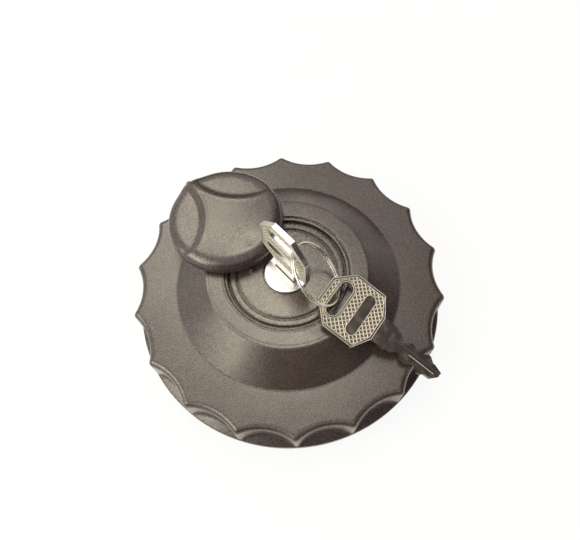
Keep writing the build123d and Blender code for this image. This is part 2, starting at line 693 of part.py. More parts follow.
def vent_valve():
    """One-piece rubber umbrella valve over three vent holes."""
    web_bottom = flange_top - core_web
    cap = turned([
        (0, web_bottom - vent_cap_thickness), (vent_cap_radius * 0.5, web_bottom - vent_cap_thickness),
        (vent_cap_radius, web_bottom - 0.35), (vent_cap_radius, web_bottom - 0.02), (0, web_bottom - 0.02),
    ])
    stem = disc(vent_stem_radius, web_bottom - 0.1, flange_top + 0.9)
    bulb = Pos(0, 0, flange_top + 0.9) * Cone(vent_stem_radius + 0.7, vent_stem_radius - 0.3, 1.6)
    return Rot(0, 0, bolt_azimuth) * Pos(-vent_circle, 0) * (cap + stem + bulb)


def neck_gasket():
    """Flat rubber ring that seals on the rim of the neck."""
    gasket = ring(gasket_outer_radius, body_seat_radius + gasket_stretch_clearance, 0, gasket_thickness)
    return chamfer(gasket.edges().filter_by(GeomType.CIRCLE).sort_by(Axis.Z)[:2], 0.4)


def clamp_screws():
    """Four long screws: body, cover and escutcheon together."""
    head_low = spigot_bottom + bolt_clearance / 2
    head_high = head_low + clamp_screw_head_height
    head = disc(clamp_screw_head_radius, head_low, head_high)
    recess = slab(-1.9, 1.9, -0.45, 0.45, head_low - 1, head_low + 1.2)
    head -= recess + Rot(0, 0, 90) * recess
    tip = escutcheon_top - escutcheon_thickness - 0.2
    shank = disc(clamp_screw_radius, head_high - 0.1, tip)
    shank = chamfer(shank.edges().filter_by_position(Axis.Z, tip - 0.01, tip + 0.01), 0.6)
    return around(clamp_screw_circle, quarter_azimuths(bolt_azimuth + 45), head + shank)


def bayonet_plate():
    """Steel plate under the spigot with two ramped lugs, square to the bolt."""
    plate = disc(plate_radius, plate_bottom, spigot_bottom)
    half = radians(lug_angle / 2)
    lug_plan = Circle(lug_radius) - Circle(plate_radius - 1)
    reach = 2 * lug_radius
    wedge = make_face(Polyline((0, 0), (reach * sin(half), reach * cos(half)),
                               (-reach * sin(half), reach * cos(half)), close=True))
    lug = Pos(0, 0, plate_bottom) * extrude(lug_plan & wedge, plate_thickness)
    ramp_width = 2 * (lug_radius - plate_radius + lug_ramp)
    ramp_angle = degrees(lug_ramp_length / lug_radius)
    chip = Box(3 * lug_ramp_length, ramp_width, lug_ramp_length)
    for side in (-1, 1):
        ramp = Rot(0, 0, side * (lug_angle / 2 - ramp_angle)) * Pos(0, lug_radius, spigot_bottom)
        tilt = degrees(atan2(lug_ramp, lug_ramp_length)) * side
        lug -= ramp * Rot(0, -tilt, 0) * Pos(-side * 1.5 * lug_ramp_length, 0, lug_ramp_length / 2) * chip
    plate += lug + Rot(0, 0, 180) * lug
    lug_corners = [e for e in plate.edges().filter_by(Axis.Z) if e.center().length > lug_radius - 0.5]
    plate = fillet(lug_corners, lug_rounding)
    sink = Pos(0, 0, plate_bottom + 0.75) * Cone(plate_screw_head_radius + 0.1, plate_screw_radius + 0.15, 1.5)
    sink += disc(plate_screw_radius + 0.15, plate_bottom, spigot_bottom + 1)
    plate -= around(plate_screw_circle, quarter_azimuths(45), sink)
    vent = disc(plate_vent_radius, plate_bottom - 1, spigot_bottom + 1)
    plate -= around(plate_screw_circle, [160, 200], vent)
    return Rot(0, 0, bolt_azimuth) * plate


def plate_screws():
    """Four countersunk screws, plate to body."""
    head = Pos(0, 0, plate_bottom + 0.75) * Cone(plate_screw_head_radius, plate_screw_radius, 1.5)
    recess = slab(-1.6, 1.6, -0.35, 0.35, plate_bottom - 1, plate_bottom + 0.9)
    screw = head + disc(plate_screw_radius, plate_bottom + 1.4, plate_bottom + plate_screw_length)
    screw -= recess + Rot(0, 0, 90) * recess
    return around(plate_screw_circle, quarter_azimuths(bolt_azimuth + 45), screw)


# ================================================================ keys and ring
def bow_outline(inset):
    """Eight-sided bow, from its far end at X = 0 to the neck."""
    half = bow_half_width - inset
    end = bow_end_half_width - inset * 0.4
    points = [
        (inset, -end), (bow_shoulder_start, -half), (bow_shoulder_end, -half),
        (bow_length - inset, -end), (bow_length - inset, end), (bow_shoulder_end, half),
        (bow_shoulder_start, half), (inset, end),
    ]
    face = make_face(Polyline(*points, close=True))
    return fillet(face.vertices(), 0.8 if inset == 0 else 0.5)


def blade_outline():
    """Neck and double-sided blade, from (distance past the shoulder, half width) points of each edge."""
    shoulder = bow_length + neck_length
    neck = [(-neck_length - 2, neck_half_width), (-neck_chamfer, neck_half_width), (0, blade_half_width)]
    left = [(shoulder + x, y) for x, y in neck + list(blade_left_cuts)]
    right = [(shoulder + x, -y) for x, y in neck + list(blade_right_cuts)]
    return make_face(Polyline(*(left + right[::-1]), close=True))


def key_blank():
    """Key along X with its bow's far end at the origin, flat in the XY plane."""
    half = key_thickness / 2
    plan = bow_outline(0.0) + blade_outline()
    slot_shape = Pos(bow_slot_offset, 0) * Rot(0, 0, 90)
    slot = slot_shape * SlotOverall(bow_slot_length, bow_slot_width)
    blank = Pos(0, 0, -half) * extrude(plan - slot, key_thickness)
    collar = slot_shape * SlotOverall(bow_slot_length + 2 * bow_slot_collar, bow_slot_width + 2 * bow_slot_collar)
    panel = Pos(bow_panel_offset, 0) * Rot(0, 0, 90) * SlotOverall(bow_panel_length, bow_panel_width)
    field = bow_outline(bow_border) - collar - panel
    for side in (-1, 1):
        blank -= Pos(0, 0, side * half - bow_recess) * extrude(field, 2 * bow_recess)
        groove_start = bow_length + neck_length - 0.5
        blank -= slab(groove_start, key_length + 1, -blade_groove_width / 2, blade_groove_width / 2,
                      side * half - blade_groove_depth, side * half + blade_groove_depth)
    return blank


def key():
    """Key in the lock: its blade down the keyway."""
    across = (cos(radians(key_azimuth)), sin(radians(key_azimuth)), 0)
    normal = (across[1], -across[0], 0)
    return Plane(origin=(0, 0, bow_top), x_dir=(0, 0, -1), z_dir=normal) * key_blank()


def spare_frame():
    """Plane of the spare key, sloping down over the raised centre to the rim."""
    slope = radians(spare_slope)
    azimuth = radians(spare_azimuth)
    along = (cos(azimuth) * cos(slope), sin(azimuth) * cos(slope), -sin(slope))
    up = (cos(azimuth) * sin(slope), sin(azimuth) * sin(slope), cos(slope))
    return Plane(origin=(spare_x, spare_y, spare_z), x_dir=along, z_dir=up)


def spare_key():
    return spare_frame() * key_blank()


def key_ring():
    """Split ring of two touching turns, open where each turn ends."""
    wire = Pos(ring_radius, 0, -ring_turn_offset / 2) * Rot(90, 0, 0) * Circle(ring_wire_radius)
    wire += Pos(ring_radius, 0, ring_turn_offset / 2) * Rot(90, 0, 0) * Circle(ring_wire_radius)
    loop = revolve(wire, Axis.Z)
    reach = ring_radius + 2
    notch_height = 2 * ring_wire_radius
    for turn, low in ((0, 0.0), (1, -notch_height)):
        azimuth = turn * ring_split_angle
        notch = slab(ring_radius - 2, reach, -0.2, 0.2, low, low + notch_height)
        loop -= Rot(0, 0, azimuth) * notch
    return Pos(ring_x, ring_y, ring_z) * Rot(0, 0, ring_tilt_azimuth) * Rot(0, ring_tilt, 0) * loop


# ================================================================ write the pieces
pieces = {
    "grip_cover": grip_cover,
    "lock_escutcheon": lock_escutcheon,
    "dust_cover": dust_cover,
    "cover_spring_washer": cover_spring_washer,
    "cover_pivot_screw": cover_pivot_screw,
    "lock_barrel": lock_barrel,
    "barrel_seal": barrel_seal,
    "lock_plug": lock_plug,
    "lock_wafers": lock_wafers,
    "wafer_springs": wafer_springs,
    "plug_circlip": plug_circlip,
    "lock_driver": lock_driver,
    "locking_bolt": locking_bolt,
    "bayonet_body": bayonet_body,
    "vent_valve": vent_valve,
    "neck_gasket": neck_gasket,
    "clamp_screws": clamp_screws,
    "bayonet_plate": bayonet_plate,
    "plate_screws": plate_screws,
    "key": key,
    "spare_key": spare_key,
    "key_ring": key_ring,
}

os.makedirs("parts", exist_ok=True)
for name, make in pieces.items():
    export_step(make(), f"parts/{name}.step")
print(len(pieces), "pieces; bolt travel", round(bolt_travel, 3), "mm; top of key", round(bow_top, 2))
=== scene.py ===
# %% [markdown]
# # A lockable fuel filler cap
# The cap is a dark moulded lid with eighteen finger scallops. A swing-aside dust cover uncovers the
# bright face of the lock, where a flat key stands, and a spare key hangs from it on a split ring.
# The solids come from the CAD model, already in place and in metres. This notebook adds the light,
# the camera, the finishes and the small forms that are easier to draw here than to cut from a solid.
#
# # Tools and frame
# Every step below needs the same few modules, and the packed model that gives each solid its place.
# The box of the solids is kept first, and the floor is set just below it.

# %% Load the frame
import bpy, bmesh, json, math
import numpy as np
from mathutils import Matrix, Vector

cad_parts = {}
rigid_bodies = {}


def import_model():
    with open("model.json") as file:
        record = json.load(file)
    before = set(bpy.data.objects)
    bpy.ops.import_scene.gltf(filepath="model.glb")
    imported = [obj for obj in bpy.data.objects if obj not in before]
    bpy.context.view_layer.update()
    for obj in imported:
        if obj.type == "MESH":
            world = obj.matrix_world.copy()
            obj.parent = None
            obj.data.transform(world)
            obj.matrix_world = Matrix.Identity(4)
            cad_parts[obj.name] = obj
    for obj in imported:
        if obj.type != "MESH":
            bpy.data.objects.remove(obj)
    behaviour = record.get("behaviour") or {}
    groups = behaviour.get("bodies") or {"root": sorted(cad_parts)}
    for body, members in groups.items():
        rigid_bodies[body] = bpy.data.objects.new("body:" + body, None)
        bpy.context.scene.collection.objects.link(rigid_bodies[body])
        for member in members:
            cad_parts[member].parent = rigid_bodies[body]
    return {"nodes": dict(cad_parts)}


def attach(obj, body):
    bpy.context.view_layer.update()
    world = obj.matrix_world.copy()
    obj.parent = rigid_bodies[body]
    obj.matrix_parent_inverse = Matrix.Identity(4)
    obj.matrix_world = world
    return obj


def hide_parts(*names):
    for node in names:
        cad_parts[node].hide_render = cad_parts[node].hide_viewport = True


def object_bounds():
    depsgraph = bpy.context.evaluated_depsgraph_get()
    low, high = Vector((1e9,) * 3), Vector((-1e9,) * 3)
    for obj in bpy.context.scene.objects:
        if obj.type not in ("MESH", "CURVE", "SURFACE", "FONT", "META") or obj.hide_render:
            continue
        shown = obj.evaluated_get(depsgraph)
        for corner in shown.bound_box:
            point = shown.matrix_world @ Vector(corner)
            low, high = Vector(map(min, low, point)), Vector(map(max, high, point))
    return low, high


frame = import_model()
cad_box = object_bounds()
solids = frame["nodes"]
MM = 0.001
print(len(solids), "solids, box", [[round(v, 4) for v in corner] for corner in cad_box])

# %% [markdown]
# # Shader maths that reads like maths
# A material is a small program of nodes. Wiring forty Math nodes by hand hides what they work out, so
# this class wraps one socket and overloads the operators: an expression adds the nodes itself. The
# reflected forms are there too, so that 1 - mask works as well as mask - 1.

# %% Value
class Value:
    """A socket that adds a Math node for each operator."""

    def __init__(self, finish, socket):
        self.finish, self.socket = finish, socket

    def maths(self, operation, *inputs):
        return self.finish.node("Math", {"operation": operation}, *inputs)

    def __add__(self, other):
        return self.maths("ADD", self, other)

    def __sub__(self, other):
        return self.maths("SUBTRACT", self, other)

    def __rsub__(self, other):
        return self.maths("SUBTRACT", other, self)

    def __mul__(self, other):
        return self.maths("MULTIPLY", self, other)

    __radd__, __rmul__ = __add__, __mul__

    def upper(self, other):
        return self.maths("MAXIMUM", self, other)

    def size(self):
        return self.maths("ABSOLUTE", self)

    def ramp(self, low, high, to_low=0.0, to_high=1.0):
        """Smooth step from to_low to to_high as the value goes from low to high."""
        settings = {"interpolation_type": "SMOOTHSTEP"}
        return self.finish.node("MapRange", settings, self, low, high, to_low, to_high)


print("a value has", sum(callable(entry) for entry in vars(Value).values()), "operations")

# %% [markdown]
# # Colour
# Colours are easiest to choose as 0 to 255, and Blender's sockets want linear light. The step between
# them is the usual display curve, straight near black and a power above it.

# %% Colour
def linear(r, g, b):
    """A colour of 0 to 255 as the linear values that Blender's sockets take."""
    out = []
    for v in (r / 255, g / 255, b / 255):
        out.append(v / 12.92 if v <= 0.04045 else ((v + 0.055) / 1.055) ** 2.4)
    return (*out, 1.0)


print("a mid grey of 128 is", round(linear(128, 128, 128)[0], 3), "in linear light")

# %% [markdown]
# # A finish and its patterns
# The second class holds one material. Its node method makes any node from a type, its settings and
# the values or links of its inputs. On top of that come the patterns that this cap needs, each with
# its size in millimetres: clouds, a groove round the axis, rounded edges, a colour blend, a relief.
# They all start from Object coordinates, so a pattern stays on its piece when a joint moves it.

# %% Finish
class Finish:
    """A material and the means to fill it with nodes."""

    def __init__(self, name):
        self.material = bpy.data.materials.new(name)
        self.material.use_nodes = True
        self.tree = self.material.node_tree
        self.shader = self.tree.nodes["Principled BSDF"]
        self.place = Value(self, self.tree.nodes.new("ShaderNodeTexCoord").outputs["Object"])

    def node(self, kind, settings=None, *inputs, **named):
        made = self.tree.nodes.new("ShaderNode" + kind)
        for key, value in (settings or {}).items():
            setattr(made, key, value)
        for key, value in [*enumerate(inputs), *named.items()]:
            name = key if isinstance(key, int) else key.replace("_", " ")
            self.feed(made.inputs[name], value)
        return Value(self, made.outputs[0])

    def feed(self, socket, value):
        if isinstance(value, Value):
            self.tree.links.new(value.socket, socket)
        elif value is not None:
            socket.default_value = value

    def mixed(self, kind, factor, first, second):
        """Blend of two directions or two colours, whose sockets have their own numbers."""
        made = self.tree.nodes.new("ShaderNodeMix")
        made.data_type = kind
        a, b, result = {"VECTOR": (4, 5, 1), "RGBA": (6, 7, 2)}[kind]
        for socket, value in ((0, factor), (a, first), (b, second)):
            self.feed(made.inputs[socket], value)
        return Value(self, made.outputs[result])

    def mix(self, factor, first, second):
        """Blend of two colours."""
        return self.mixed("RGBA", factor, first, second)

    def noise(self, size_mm, detail=3.0, roughness=0.5, stretch=None):
        """Cloudy pattern of about that size, from 0 to 1."""
        place = self.node("Mapping", None, self.place, Scale=stretch) if stretch else self.place
        return self.node("TexNoise", None, Vector=place, Scale=1 / (size_mm * MM),
                         Detail=detail, Roughness=roughness)

    def split(self):
        """The three coordinates of a point, in millimetres."""
        node = self.node("SeparateXYZ", None, self.place).socket.node
        return [Value(self, node.outputs[i]) * (1 / MM) for i in range(3)]

    def radius(self):
        """Distance from the axis in millimetres."""
        x, y, _ = self.split()
        across = x * x + y * y
        return across.maths("SQRT", across)

    def groove(self, radius, half_width, depth):
        """Height in millimetres of a soft groove that runs round the axis at a radius."""
        return (self.radius() - radius).size().ramp(0.0, half_width, -depth, 0.0)

    def soft_edges(self, from_radius, rounding_mm=1.2):
        """Normal that rounds the edges of a piece, from a distance from the axis outward."""
        rounded = self.node("Bevel", {"samples": 8}, Radius=rounding_mm * MM)
        if not from_radius:
            return rounded
        facing = self.node("NewGeometry").socket.node.outputs["Normal"]
        share = self.radius().ramp(from_radius, from_radius + 1)
        return self.mixed("VECTOR", share, Value(self, facing), rounded)

    def bump(self, height, depth_mm, under=None):
        """Relief whose height of 1 stands depth_mm proud."""
        return self.node("Bump", None, Height=height, Distance=depth_mm * MM, Strength=1.0, Normal=under)

    def set(self, **sockets):
        for name, value in sockets.items():
            self.feed(self.shader.inputs[name.replace("_", " ")], value)
        return self.material


print("a finish knows", [name for name in vars(Finish) if not name.startswith("_")])

# %% [markdown]
# # Moulded plastic
# The lid, the dust cover and the rosette are glass-filled nylon. Its skin is a fine spark-eroded
# grain with a cloudy bloom and a few pale scuffs, and each speck of the grain glints on its own: that
# is a coat whose weight varies, which stays visible in the dark where a pale tint would look chalky.
# One recipe serves all of them, because they come from the same kind of mould, and each gets its own
# tint, gloss and grain. A groove or a lip of the solid gets a soft shoulder, given as distances from
# the axis, because a real mould has no corner as sharp as a cut.

# %% Moulded plastic
SKIN_MM = {"bloom": 9.0, "grain": 0.38, "scuff": 2.6}
PIT, GLINT = (14, 10, 9), (150, 126, 120)


def moulded(name, dark, light, gloss, grain_depth=0.03, grooves=(), lips=(), soft_from=0.0):
    """Grained moulding: two tints that drift into each other, speckle, scuffs, a fine relief and grooves."""
    finish = Finish(name)
    bloom = finish.noise(SKIN_MM["bloom"], detail=5.0, roughness=0.6).ramp(0.35, 0.68)
    speck = finish.noise(SKIN_MM["grain"], detail=1.5).ramp(0.4, 0.6)
    scuff = finish.noise(SKIN_MM["scuff"], detail=4.0, roughness=0.75, stretch=(1.0, 0.35, 0.6))
    scuff = scuff.ramp(0.62, 0.8)
    tint = finish.mix(bloom, linear(*dark), linear(*light))
    pale = tuple(min(255, v * 1.16 + 8) for v in light)
    tint = finish.mix(scuff * 0.175, tint, linear(*pale))
    tint = finish.mix(speck, finish.mix(0.14, tint, linear(*PIT)), finish.mix(0.03, tint, linear(*GLINT)))
    grain = finish.noise(SKIN_MM["grain"], detail=3.0, roughness=0.6)
    relief = finish.bump(grain + bloom * 0.6, grain_depth, under=finish.soft_edges(soft_from))
    for radius, half_width, depth in grooves:
        relief = finish.bump(finish.groove(radius, half_width, depth), 1.0, under=relief)
    for start, end, fall in lips:
        relief = finish.bump(finish.radius().ramp(start, end, 0.0, -fall), 1.0, under=relief)
    rough = (1.0 - bloom * 0.12) * (1.0 - gloss) + scuff * 0.08 + speck * 0.1 - 0.04
    return finish.set(Base_Color=tint, Roughness=rough, Normal=relief, Specular_IOR_Level=0.52,
                      Coat_Weight=speck * 0.95, Coat_Roughness=0.3)


finishes = {
    "grip_cover": moulded("lid plastic", (56, 47, 44), (66, 55, 51), gloss=0.70,
                          grooves=((22.9, 0.6, 0.12), (27.7, 0.28, 0.03)),
                          lips=((28.0, 29.2, 0.035), (40.9, 41.6, 0.05)), soft_from=46.0),
    "lock_escutcheon": moulded("rosette plastic", (64, 54, 50), (74, 63, 57), gloss=0.74,
                               grooves=((18.15, 0.7, 0.15), (8.3, 0.45, 0.14))),
    "dust_cover": moulded("dust cover plastic", (54, 45, 42), (64, 53, 49), gloss=0.74),
    "bayonet_body": moulded("spigot plastic", (44, 43, 41), (54, 52, 50), gloss=0.4, grain_depth=0.006),
}
print("plastics:", len(finishes))

# %% [markdown]
# # Metals and rubber
# The plug's face is turned and plated, the keys are stamped and nickel plated, the plate is zinc
# plated, and the barrel is die cast. What tells one metal from another here is its tint, its gloss and
# how far it has tarnished, over the same fine marks. The plug's face has a painted shade along the
# keyway's mouth, and the spare key's nickel is tinted darker, a painted shade. The raised and the sunk
# parts of the keys' knurl are less than fully metallic: the ridges and lips carry a paler nickel, a
# painted highlight, and the sunk field a darker one, a painted shade.

# %% Metals and rubber
KEYWAY = {"way": math.radians(-52.3), "half_length": 4.9, "half_width": 1.1}


def metal(name, base, dull, rough, tarnish_mm=3.0, metallic=1.0):
    """Plated or bare metal with fine marks and patches of tarnish."""
    finish = Finish(name)
    tarnish = finish.noise(tarnish_mm, detail=4.0, roughness=0.65).ramp(0.45, 0.75)
    marks = finish.noise(0.25, detail=3.0, roughness=0.6)
    tint = finish.mix(tarnish * 0.8, linear(*base), linear(*dull))
    roughness = tarnish * 0.18 + marks * 0.14 + (rough - 0.12)
    return finish.set(Base_Color=tint, Metallic=metallic, Roughness=roughness,
                      Normal=finish.bump(marks, 0.004))


def plated_face(name):
    """Bright plating with a painted shade along both long sides of the keyway's mouth."""
    finish = Finish(name)
    x, y, _ = finish.split()
    c, s = math.cos(KEYWAY["way"]), math.sin(KEYWAY["way"])
    along, across = (x * c + y * s).size(), (y * c - x * s).size()
    end = KEYWAY["half_length"]
    # Painted shade: a thin dark strip along both long sides of the keyway's mouth, out to its ends.
    near = (across - KEYWAY["half_width"]).size().ramp(0.1, 0.22, 1.0, 0.0)
    near = near * along.ramp(end, end + 0.2, 1.0, 0.0)
    cloud = finish.noise(2.5, detail=4.0).ramp(0.4, 0.75)
    marks = finish.noise(0.3, detail=3.0, roughness=0.6)
    plate = finish.mix(cloud * 0.6, linear(252, 251, 249), linear(240, 238, 234))
    tint = finish.mix(near * 0.93, plate, linear(30, 26, 23))
    return finish.set(Base_Color=tint, Metallic=1.0, Roughness=cloud * 0.08 + 0.3,
                      Normal=finish.bump(marks, 0.002))


def rubber(name, dark, bloomed):
    """Matt rubber with a dusty bloom."""
    finish = Finish(name)
    dust = finish.noise(4.0, detail=5.0, roughness=0.6).ramp(0.4, 0.75)
    skin = finish.noise(0.5, detail=2.0)
    tint = finish.mix(dust, linear(*dark), linear(*bloomed))
    return finish.set(Base_Color=tint, Roughness=dust * 0.15 + 0.7, Normal=finish.bump(skin, 0.01))


finishes |= {
    "lock_plug": plated_face("plated plug"),
    "lock_barrel": metal("die cast barrel", (150, 147, 142), (118, 114, 108), rough=0.45),
    "lock_driver": metal("die cast driver", (150, 147, 142), (112, 108, 102), rough=0.45),
    "plug_circlip": metal("spring steel clip", (120, 118, 115), (84, 82, 80), rough=0.35),
    "wafer_springs": metal("spring wire", (140, 137, 132), (100, 97, 93), rough=0.3),
    "lock_wafers": metal("wafer brass", (196, 166, 106), (150, 122, 74), rough=0.35),
    "cover_spring_washer": metal("dished washer", (130, 128, 124), (92, 90, 87), rough=0.35),
    "cover_pivot_screw": metal("pivot screw", (170, 167, 160), (128, 124, 116), rough=0.35),
    "locking_bolt": metal("bolt steel", (168, 165, 158), (124, 120, 112), rough=0.38),
    "bayonet_plate": metal("zinc plate", (176, 173, 166), (132, 128, 118), rough=0.42, tarnish_mm=7.0),
    "clamp_screws": metal("clamp screw zinc", (172, 169, 162), (126, 122, 114), rough=0.36),
    "plate_screws": metal("plate screw zinc", (176, 173, 165), (128, 124, 115), rough=0.36),
    "key": metal("key nickel", (208, 207, 210), (184, 180, 178), rough=0.36),
    # Painted shade: the spare key's nickel is tinted darker and warmer than the standing key's, though both
    # keys are the same part.
    "spare_key": metal("spare key nickel", (162, 149, 141), (146, 134, 126), rough=0.36),
    "key_ring": metal("ring nickel", (226, 221, 212), (196, 190, 180), rough=0.24),
    "neck_gasket": rubber("gasket rubber", (30, 30, 29), (52, 50, 47)),
    "barrel_seal": rubber("seal rubber", (26, 26, 26), (40, 39, 38)),
    "vent_valve": rubber("valve rubber", (32, 31, 30), (50, 48, 46)),
}
for name, finish in finishes.items():
    solids[name].data.materials.clear()
    solids[name].data.materials.append(finish)
# Painted highlight: paler, less metallic nickel for the ridges and lips of the bows.
knurl_painted_highlight = metal("raised nickel painted highlight", (212, 207, 196), (186, 180, 169), rough=0.48, metallic=0.3)
# Painted shade: darker, duller nickel for the sunk field of the bows.
knurl_painted_shade = metal("sunk nickel", (112, 103, 94), (92, 84, 76), rough=0.55, metallic=0.5)
print("finished solids:", len(finishes), "of", len(solids))

# %% [markdown]
# # Geometry Nodes from a script
# Ridges, beads and wire all follow a path, so each is swept by a Geometry Nodes tree. This class
# builds such a tree node by node, with named inputs for its sizes and its finish. Every tree ends in
# the same way: a round section is swept along the path, instances become real, and the finish is set.

# %% Tree
class Tree:
    """A Geometry Nodes group that is filled node by node."""

    def __init__(self, name, sizes):
        self.group = bpy.data.node_groups.new(name, "GeometryNodeTree")
        face = self.group.interface
        face.new_socket("Geometry", in_out="INPUT", socket_type="NodeSocketGeometry")
        self.ids = {}
        for label, value in sizes.items():
            kind = "NodeSocketMaterial" if isinstance(value, bpy.types.Material) else "NodeSocketFloat"
            self.ids[label] = face.new_socket(label, in_out="INPUT", socket_type=kind).identifier
        face.new_socket("Geometry", in_out="OUTPUT", socket_type="NodeSocketGeometry")
        self.sizes = sizes
        self.entry = self.group.nodes.new("NodeGroupInput")
        self.exit = self.group.nodes.new("NodeGroupOutput")

    def size(self, label):
        return self.entry.outputs[label]

    def node(self, kind, settings=None, **inputs):
        prefix = "" if kind.startswith("Shader") else "GeometryNode"
        made = self.group.nodes.new(prefix + kind)
        for key, value in (settings or {}).items():
            setattr(made, key, value)
        for key, value in inputs.items():
            name = int(key[1:]) if key[0] == "i" and key[1:].isdigit() else key.replace("_", " ")
            if isinstance(value, bpy.types.NodeSocket):
                self.group.links.new(value, made.inputs[name])
            else:
                made.inputs[name].default_value = value
        return made.outputs[0]

    def product(self, first, second):
        return self.node("ShaderNodeMath", {"operation": "MULTIPLY"}, i0=first, i1=second)

    def circle(self, radius, steps=8):
        return self.node("CurvePrimitiveCircle", {"mode": "RADIUS"}, Resolution=steps, Radius=radius)

    def sweep(self, path, section):
        """Sweeps a section along a path and finishes the tree."""
        solid = self.node("CurveToMesh", Curve=path, Profile_Curve=section, Fill_Caps=True)
        solid = self.node("RealizeInstances", Geometry=solid)
        solid = self.node("SetShadeSmooth", Geometry=solid, Shade_Smooth=True)
        painted = self.node("SetMaterial", Geometry=solid, Material=self.size("Finish"))
        self.group.links.new(painted, self.exit.inputs[0])
        print(self.group.name, "tree has", len(self.group.nodes), "nodes")


print("a tree knows", [name for name in vars(Tree) if not name.startswith("_")])

# %% [markdown]
# # From a tree to a plain mesh
# The export wants plain meshes at the origin, not live modifiers. So a tree is run once on a wire of
# Each piece is kept as a plain mesh on an object at the origin, not as a live modifier. So a tree is run
# once on a wire of points, its result is kept as a mesh, and the mesh itself is moved to where the piece
# belongs. The modifier's inputs are set by identifier before the object is first evaluated, and it's gone
# before the piece is told which body it rides on.

# %% Linked and grown
def linked(name, mesh):
    made = bpy.data.objects.new(name, mesh)
    bpy.context.scene.collection.objects.link(made)
    return made


def grown(name, tree, points, edges, place, body, slot):
    """Runs a tree on a wire of points and keeps the result as a plain mesh, already in its place."""
    wire = bpy.data.meshes.new(name + " path")
    wire.from_pydata([tuple(v * MM for v in p) for p in points], edges, [])
    piece = linked(name, wire)
    modifier = piece.modifiers.new("grow", "NODES")
    modifier.node_group = tree.group
    for label, value in tree.sizes.items():
        modifier[tree.ids[label]] = value
    graph = bpy.context.evaluated_depsgraph_get()
    mesh = bpy.data.meshes.new_from_object(piece.evaluated_get(graph), depsgraph=graph)
    piece.modifiers.remove(modifier)
    piece.data = mesh
    mesh.name = name
    mesh.transform(place)
    mesh.update()
    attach(piece, body)
    print(name, "has", len(mesh.polygons), "faces")
    return piece


# %% [markdown]
# # Where the two keys lie
# Both keys are the same flat part, so the knurl is drawn once, on a key that lies along X with its
# face up, and carried to each key by a matrix. The first key stands upright in the keyway. The spare
# key slopes down from the centre of the lid to its rim.

# %% Key frames
SPARE = {"origin": (12.55, -10.5, 27.561), "way": math.radians(-39.6), "slope": math.radians(17.5)}
KEY_TOP = 48.25


def placed(origin_mm, along, up):
    """Matrix of a frame with X along, Z up and its origin in millimetres."""
    x = Vector(along).normalized()
    z = Vector(up).normalized()
    matrix = Matrix((x, z.cross(x), z)).transposed().to_4x4()
    matrix.translation = Vector(origin_mm) * MM
    return matrix


ahead = Vector((math.cos(SPARE["way"]), math.sin(SPARE["way"]), 0))
fall, rise = math.sin(SPARE["slope"]), math.cos(SPARE["slope"])
key_places = {
    "lock": placed((0, 0, KEY_TOP), (0, 0, -1), (math.sin(KEYWAY["way"]), -math.cos(KEYWAY["way"]), 0)),
    "spare": placed(SPARE["origin"], ahead * rise - Vector((0, 0, fall)),
                    ahead * fall + Vector((0, 0, rise))),
}
print("key frames:", *key_places)

# %% [markdown]
# # The knurled bow of a key
# A cheap pressed key has a bow with a raised border, a raised collar round the slot for the ring, a
# smooth capsule-shaped panel, and a diamond knurl pressed into what is left. Modelling each diamond
# would take thousands of faces, so the knurl is two families of small ridges at 45 degrees that cross
# each other. Their paths are clipped to the field by plain geometry: one is followed in small steps,
# and a ridge starts or ends wherever a step crosses the border, the collar or the panel.

# %% Outlines and knurl paths
BOW = {"length": 22.6, "half": 11.2, "end": 4.6, "from": 6.5, "to": 18.4}
SLOT = {"at": 6.0, "length": 13.6, "width": 5.0}
PANEL = {"at": 15.05, "length": 16.6, "width": 4.3}
KNURL = {"pitch": 1.32, "border": 1.0, "collar": 0.9, "middle": 11, "reach": 30, "step": 0.04,
         "shortest": 0.3}


def bow_loop(inset):
    half, end = BOW["half"] - inset, BOW["end"] - inset * 0.4
    return [(inset, -end), (BOW["from"], -half), (BOW["to"], -half), (BOW["length"] - inset, -end),
            (BOW["length"] - inset, end), (BOW["to"], half), (BOW["from"], half), (inset, end)]


def stadium_loop(shape, grow, steps=12):
    radius = shape["width"] / 2 + grow
    straight = shape["length"] / 2 - shape["width"] / 2
    loop = []
    for side in (1, -1):
        for i in range(steps + 1):
            angle = math.pi * i / steps + (0 if side > 0 else math.pi)
            loop.append((shape["at"] + radius * math.cos(angle), side * straight + radius * math.sin(angle)))
    return loop


def in_stadium(x, y, shape, grow):
    straight = shape["length"] / 2 - shape["width"] / 2
    over = max(abs(y) - straight, 0.0)
    return math.hypot(x - shape["at"], over) < shape["width"] / 2 + grow


def in_bow(x, y, inset):
    loop = bow_loop(inset)
    for (ax, ay), (bx, by) in zip(loop, loop[1:] + loop[:1]):
        if (bx - ax) * (y - ay) - (by - ay) * (x - ax) < 0:
            return False
    return True


def knurl_paths():
    """Straight runs at 45 degrees both ways, clipped to the sunk field of the bow."""
    runs, reach, step = [], KNURL["reach"], KNURL["step"]
    for lean in (1, -1):
        for k in range(-40, 41):
            start = last = None
            for i in range(int(2 * reach / step)):
                t = -reach + i * step
                x = KNURL["middle"] + (t - k * KNURL["pitch"] * lean) / math.sqrt(2)
                y = (t * lean + k * KNURL["pitch"]) / math.sqrt(2)
                free = (in_bow(x, y, KNURL["border"]) and not in_stadium(x, y, SLOT, KNURL["collar"])
                        and not in_stadium(x, y, PANEL, 0.0))
                if free and start is None:
                    start = (x, y)
                if not free and start is not None:
                    if math.dist(last, start) > KNURL["shortest"]:
                        runs.append((start, last))
                    start = None
                last = (x, y)
    return runs


runs = knurl_paths()
print(len(runs), "ridges on each face of a bow")

# %% [markdown]
# # The sweeps of the bow
# Two trees are enough. A ridge of the knurl has a low half-oval section, which comes from a circle
# squeezed by its named width and height. The rounded lips of the border, the collar, the panel and
# the groove of the blade are beads with a round section.

